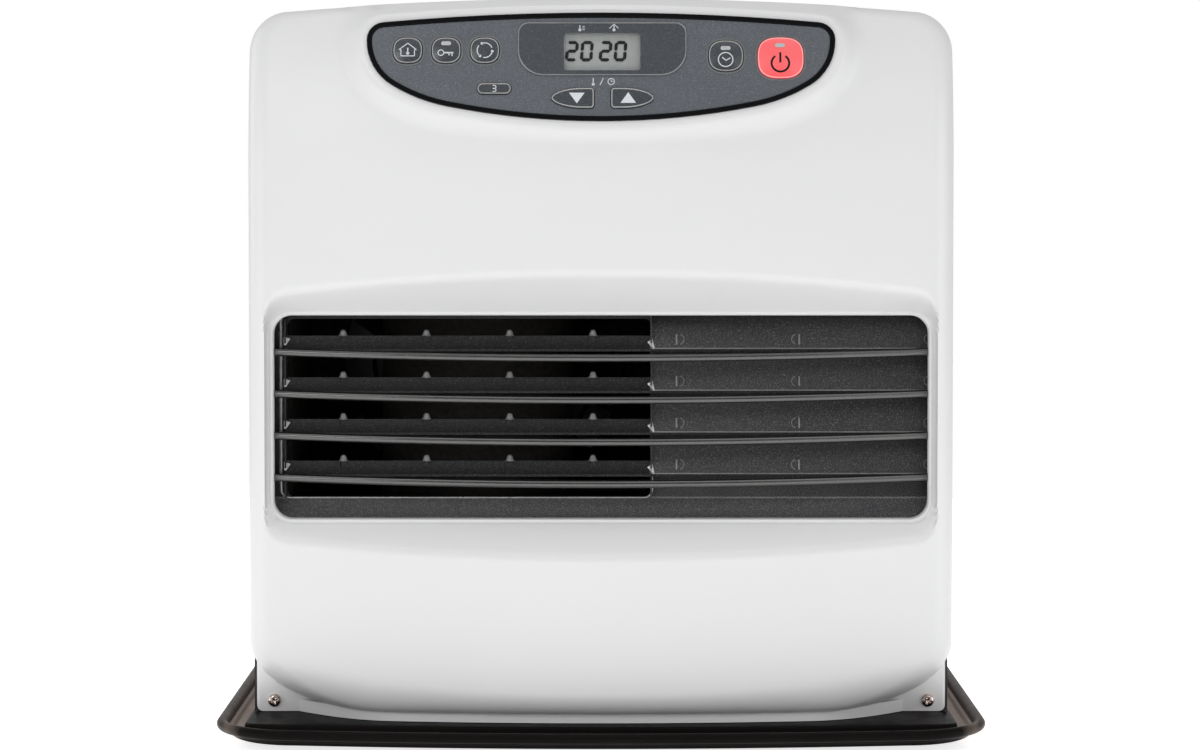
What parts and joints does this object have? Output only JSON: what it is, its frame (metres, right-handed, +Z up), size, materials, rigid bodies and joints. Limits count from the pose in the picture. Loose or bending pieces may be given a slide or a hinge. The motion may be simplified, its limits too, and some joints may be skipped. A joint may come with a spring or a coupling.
{
  "type": "paraffin heater",
  "caption": "Fan-forced paraffin heater with a bowed front panel, a grille of guard rods, a sloping key panel and a drip tray.",
  "frame": {"origin": "on the floor under the middle of the drip tray", "axes": "front faces -Y, +X to the right seen from the front, +Z up"},
  "size_m": [0.4604, 0.328, 0.4468],
  "materials": {
    "white_paint": "satin",
    "casing_paint": "satin",
    "tray_black": "semi-gloss",
    "frame_black": "matte",
    "rubber": "matte",
    "screw_steel": "bright",
    "zinc_steel": "satin",
    "charcoal_paint": "satin metallic",
    "rod_paint": "satin",
    "bezel_black": "gloss",
    "fascia_grey": "satin metallic",
    "display_grey": "gloss",
    "clear": "clear",
    "liquid_crystal": "satin",
    "key_grey": "gloss",
    "key_red": "gloss",
    "lamp": "gloss",
    "board_green": "satin",
    "moulding_black": "matte",
    "moulding_grey": "matte",
    "cap_steel": "satin",
    "nylon": "matte",
    "pump_metal": "satin",
    "copper": "satin",
    "burner_iron": "matte",
    "ceramic": "matte",
    "heat_steel": "satin",
    "motor_dark": "satin",
    "aluminium": "satin",
    "guard_black": "satin"
  },
  "bodies": {
    "heater": {"tray": "tray_black", "tray_feet": "rubber", "base_frame": "frame_black", "front_panel": "white_paint", "front_screws": "screw_steel", "side_panel_left": "casing_paint", "side_panel_right": "casing_paint", "back_panel": "casing_paint", "casing_screws": "zinc_steel", "top_cover": "white_paint", "lid_hinge_pin": "zinc_steel", "side_grips": "moulding_grey", "guard_rods": "rod_paint", "louvre_panel": "charcoal_paint", "control_bezel": "bezel_black", "control_fascia": "fascia_grey", "display_frame": "display_grey", "display_window": "clear", "display_module": "liquid_crystal", "indicator_leds": "lamp", "control_board": "board_green", "power_board": "board_green", "tank_shell": "zinc_steel", "tank_cap": "cap_steel", "tank_gauge": "clear", "sump_tank": "zinc_steel", "fuel_strainer": "nylon", "fuel_pump": "pump_metal", "fuel_pipe": "copper", "burner_pot": "burner_iron", "igniter": "ceramic", "flame_ring": "heat_steel", "flame_rod": "ceramic", "combustion_chamber": "heat_steel", "air_duct": "zinc_steel", "blower_housing": "aluminium", "blower_motor": "motor_dark", "fan_motor": "motor_dark", "fan_bracket": "zinc_steel", "fan_guard": "guard_black", "filter_rails": "moulding_black", "room_sensor": "moulding_black", "tilt_switch": "moulding_black", "overheat_cutout": "ceramic", "cord_gland": "moulding_black"},
    "lid": {"tank_lid": "white_paint"},
    "handle": {"tank_handle": "moulding_black"},
    "fan": {"fan_shaft": "zinc_steel", "fan_blades": "aluminium"},
    "impeller": {"blower_impeller": "aluminium"},
    "filter": {"air_filter": "moulding_black"},
    "key_save": {"key_save": "key_grey"},
    "key_lock": {"key_lock": "key_grey"},
    "key_vent": {"key_vent": "key_grey"},
    "key_timed_off": {"key_timed_off": "key_grey"},
    "key_down": {"key_down": "key_grey"},
    "key_up": {"key_up": "key_grey"},
    "key_timer": {"key_timer": "key_grey"},
    "key_power": {"key_power": "key_red"}
  },
  "joints": [
    {"name": "key_save_press", "type": "slide", "parent": "heater", "child": "key_save", "axis": [0, 0.9703, -0.2419], "range_m": [0, 0.001], "stiffness_N_per_m": 600, "springref_m": -0.0005},
    {"name": "key_lock_press", "type": "slide", "parent": "heater", "child": "key_lock", "axis": [0, 0.9703, -0.2419], "range_m": [0, 0.001], "stiffness_N_per_m": 600, "springref_m": -0.0005},
    {"name": "key_vent_press", "type": "slide", "parent": "heater", "child": "key_vent", "axis": [0, 0.9703, -0.2419], "range_m": [0, 0.001], "stiffness_N_per_m": 600, "springref_m": -0.0005},
    {"name": "key_timed_off_press", "type": "slide", "parent": "heater", "child": "key_timed_off", "axis": [0, 0.9703, -0.2419], "range_m": [0, 0.001], "stiffness_N_per_m": 600, "springref_m": -0.0005},
    {"name": "key_down_press", "type": "slide", "parent": "heater", "child": "key_down", "axis": [0, 0.9703, -0.2419], "range_m": [0, 0.001], "stiffness_N_per_m": 600, "springref_m": -0.0005},
    {"name": "key_up_press", "type": "slide", "parent": "heater", "child": "key_up", "axis": [0, 0.9703, -0.2419], "range_m": [0, 0.001], "stiffness_N_per_m": 600, "springref_m": -0.0005},
    {"name": "key_timer_press", "type": "slide", "parent": "heater", "child": "key_timer", "axis": [0, 0.9703, -0.2419], "range_m": [0, 0.001], "stiffness_N_per_m": 600, "springref_m": -0.0005},
    {"name": "key_power_press", "type": "slide", "parent": "heater", "child": "key_power", "axis": [0, 0.9703, -0.2419], "range_m": [0, 0.001], "stiffness_N_per_m": 600, "springref_m": -0.0005},
    {"name": "lid_hinge", "type": "hinge", "parent": "heater", "child": "lid", "pos_m": [0.121, 0.093, 0.4342], "axis": [-1, 0, 0], "range_deg": [0, 95]},
    {"name": "handle_hinge", "type": "hinge", "parent": "heater", "child": "handle", "pos_m": [0.121, 0.025, 0.409], "axis": [1, 0, 0], "range_deg": [0, 90]},
    {"name": "fan_spin", "type": "hinge", "parent": "heater", "child": "fan", "pos_m": [-0.078, 0.084, 0.215], "axis": [0, 1, 0], "continuous": true},
    {"name": "blower_spin", "type": "hinge", "parent": "heater", "child": "impeller", "pos_m": [-0.135, 0.074, 0.04], "axis": [0, 0, 1], "continuous": true},
    {"name": "filter_lift", "type": "slide", "parent": "heater", "child": "filter", "axis": [0, 0, 1], "range_m": [0, 0.06]}
  ]
}
